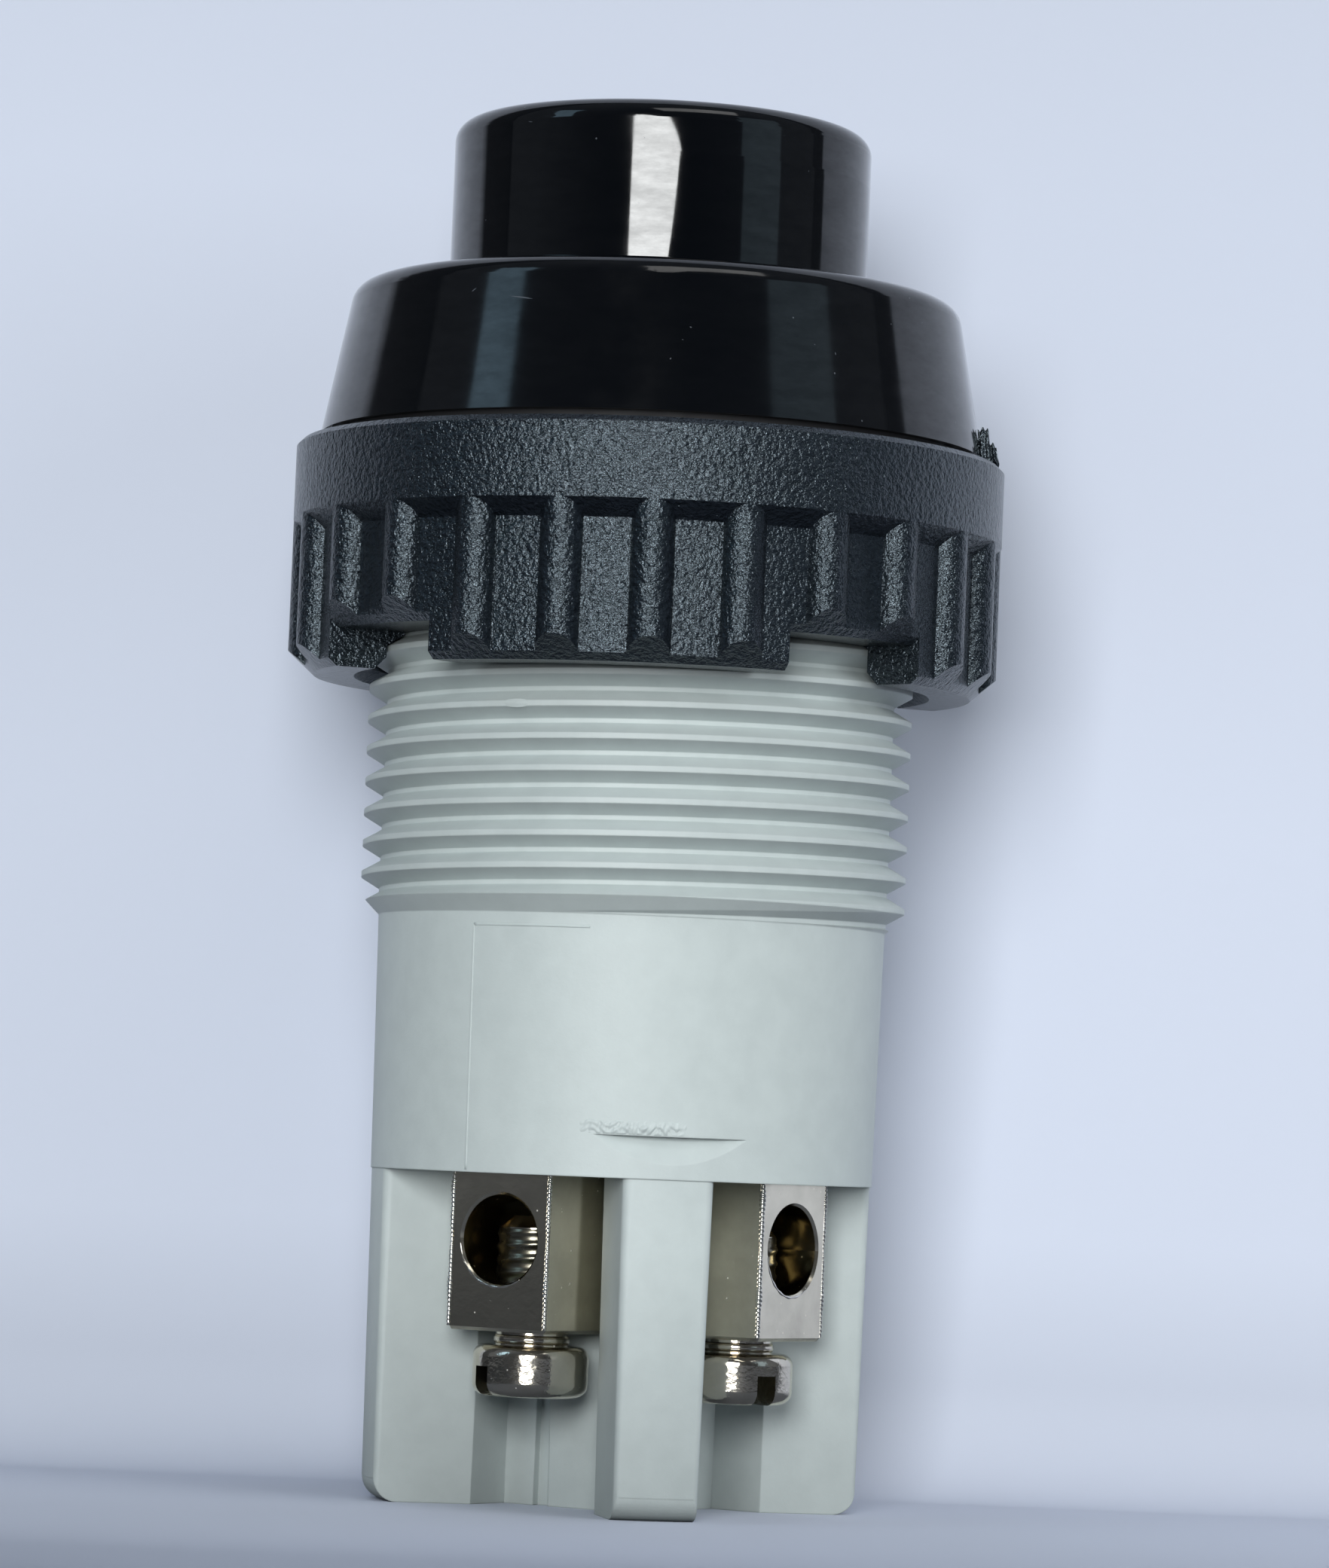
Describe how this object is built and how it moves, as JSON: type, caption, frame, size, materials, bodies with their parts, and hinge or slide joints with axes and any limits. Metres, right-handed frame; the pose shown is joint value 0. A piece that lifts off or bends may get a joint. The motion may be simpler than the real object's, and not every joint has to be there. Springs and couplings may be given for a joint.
{
  "type": "pushbutton switch",
  "caption": "Panel pushbutton switch with a glossy black button and bezel, a ribbed ring nut on a grey threaded barrel, and screw terminals between the ribs of its base.",
  "frame": {"origin": "on the switch's axis, at the panel's front face, which is the gasket's underside", "axes": "+Z along the axis towards the button; the ribs of the base lie along X and Y, and the picture's front rib along -Y"},
  "size_m": [0.032, 0.032, 0.0621],
  "materials": {
    "grey_plastic": "moulded, faintly textured",
    "black_gloss": "polished",
    "black_matte": "spark-eroded texture",
    "black_rubber": "plain",
    "white_plastic": "moulded",
    "spring_steel": "drawn wire",
    "brass": "pressed strip",
    "silver": "silver contact",
    "nickel_brass": "nickel plated, fine scratches",
    "nickel_steel": "nickel plated"
  },
  "bodies": {
    "base": {"housing": "grey_plastic", "bezel_ring": "black_gloss", "return_spring": "spring_steel", "nc_fixed_tips": "silver", "no_fixed_tips": "silver", "fixed_contact_1": "brass", "fixed_contact_2": "brass", "fixed_contact_3": "brass", "fixed_contact_4": "brass", "terminal_block_1": "nickel_brass", "terminal_block_2": "nickel_brass", "terminal_block_3": "nickel_brass", "terminal_block_4": "nickel_brass"},
    "button": {"button_cap": "black_gloss", "plunger": "white_plastic", "retaining_clip": "spring_steel"},
    "bridges": {"nc_bridge": "brass", "no_bridge": "brass", "nc_bridge_tips": "silver", "no_bridge_tips": "silver", "contact_spring": "spring_steel"},
    "gasket": {"panel_gasket": "black_rubber"},
    "nut": {"ring_nut": "black_matte"},
    "screw_1": {"terminal_screw_1": "nickel_steel"},
    "screw_2": {"terminal_screw_2": "nickel_steel"},
    "screw_3": {"terminal_screw_3": "nickel_steel"},
    "screw_4": {"terminal_screw_4": "nickel_steel"}
  },
  "joints": [
    {"name": "button_press", "type": "slide", "parent": "base", "child": "button", "axis": [0, 0, -1], "range_m": [0, 0.0044], "stiffness_N_per_m": 600, "springref_m": -0.006, "deforming": ["return_spring"]},
    {"name": "bridge_travel", "type": "slide", "parent": "base", "child": "bridges", "axis": [0, 0, -1], "range_m": [0, 0.00352]},
    {"name": "nut_travel", "type": "slide", "parent": "base", "child": "gasket", "axis": [0, 0, 1], "range_m": [-0.0098, 0]},
    {"name": "nut_turn", "type": "hinge", "parent": "gasket", "child": "nut", "pos_m": [0, 0, 0], "axis": [0, 0, 1], "range_deg": [-2520, 0]},
    {"name": "screw_1_travel", "type": "slide", "parent": "base", "child": "screw_1", "axis": [0, 0, 1], "range_m": [-0.0035, 0.0005]},
    {"name": "screw_2_travel", "type": "slide", "parent": "base", "child": "screw_2", "axis": [0, 0, 1], "range_m": [-0.0035, 0.0005]},
    {"name": "screw_3_travel", "type": "slide", "parent": "base", "child": "screw_3", "axis": [0, 0, 1], "range_m": [-0.0035, 0.0005]},
    {"name": "screw_4_travel", "type": "slide", "parent": "base", "child": "screw_4", "axis": [0, 0, 1], "range_m": [-0.0035, 0.0005]}
  ],
  "couplings": [
    {"joint": "bridge_travel", "follows": "button_press", "ratio": 0.8},
    {"joint": "nut_travel", "follows": "nut_turn", "m_per_rad": 0.00022282}
  ]
}
